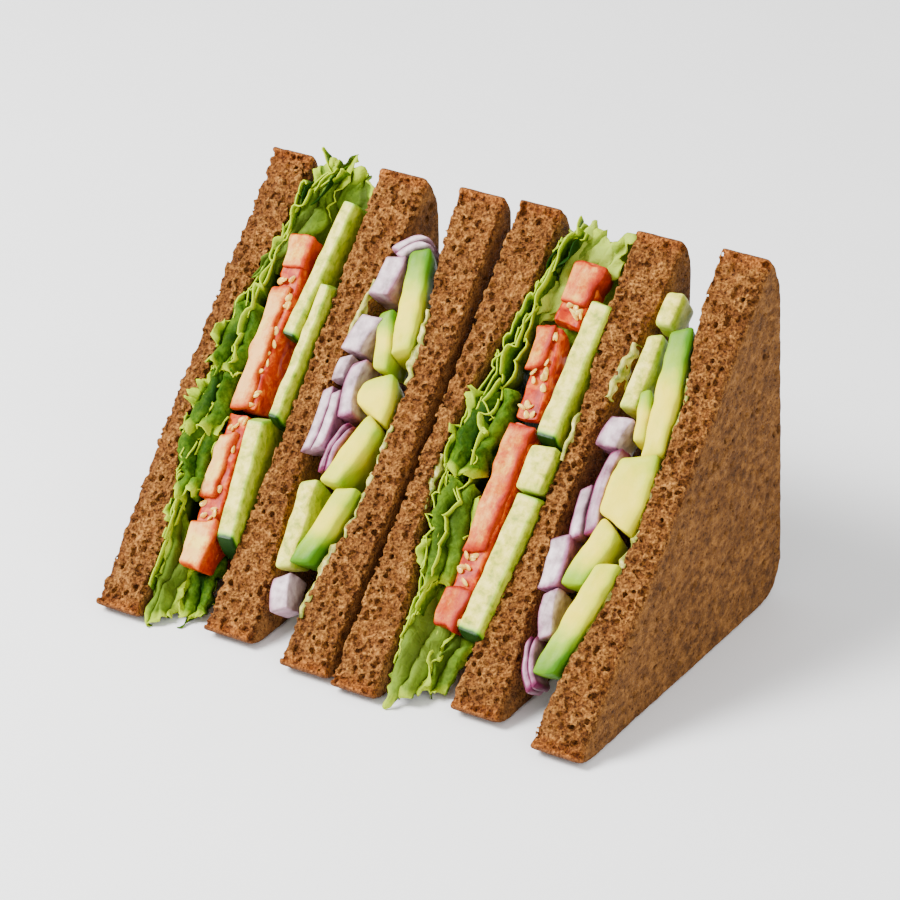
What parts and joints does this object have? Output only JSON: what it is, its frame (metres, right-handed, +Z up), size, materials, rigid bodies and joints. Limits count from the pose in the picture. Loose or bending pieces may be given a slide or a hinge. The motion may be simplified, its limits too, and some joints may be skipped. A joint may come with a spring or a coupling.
{
  "type": "club sandwich",
  "caption": "Club sandwich of thick brown bread cut corner to corner into two halves, filled with salad, tomato, cucumber, onion and avocado, stood on its crusts.",
  "frame": {"origin": "on the floor, at the middle of the sandwich's box", "axes": "+X along the stack of slices, +Y towards the upright crust at the back, +Z up; the sloping cut face looks forward and up, along -Y and +Z"},
  "size_m": [0.1678, 0.1136, 0.1091],
  "materials": {
    "bread": "open, dry brown crumb with dark pores",
    "lettuce": "crinkled leaf with a soft sheen",
    "tomato": "wet flesh and gel",
    "cucumber": "wet pale flesh with a dark green rim",
    "avocado": "smooth buttery flesh, greener at the rim",
    "onion": "glossy, translucent, purple at the rim"
  },
  "bodies": {
    "root": {"avocado_1": "avocado", "avocado_2": "avocado", "avocado_3": "avocado", "avocado_4": "avocado", "avocado_5": "avocado", "avocado_6": "avocado", "avocado_7": "avocado", "avocado_8": "avocado", "avocado_9": "avocado", "avocado_10": "avocado", "avocado_11": "avocado", "avocado_12": "avocado", "bread_1": "bread", "bread_2": "bread", "bread_3": "bread", "bread_4": "bread", "bread_5": "bread", "bread_6": "bread", "cucumber_1": "cucumber", "cucumber_2": "cucumber", "cucumber_3": "cucumber", "cucumber_4": "cucumber", "cucumber_5": "cucumber", "cucumber_6": "cucumber", "cucumber_7": "cucumber", "cucumber_8": "cucumber", "cucumber_9": "cucumber", "cucumber_10": "cucumber", "cucumber_11": "cucumber", "lettuce_1": "lettuce", "lettuce_2": "lettuce", "onion_1": "onion", "onion_2": "onion", "onion_3": "onion", "onion_4": "onion", "onion_5": "onion", "onion_6": "onion", "onion_7": "onion", "onion_8": "onion", "onion_9": "onion", "onion_10": "onion", "onion_11": "onion", "onion_12": "onion", "onion_13": "onion", "onion_14": "onion", "onion_15": "onion", "onion_16": "onion", "tomato_1": "tomato", "tomato_2": "tomato", "tomato_3": "tomato", "tomato_4": "tomato", "tomato_5": "tomato", "tomato_6": "tomato", "tomato_7": "tomato"}
  },
  "joints": []
}
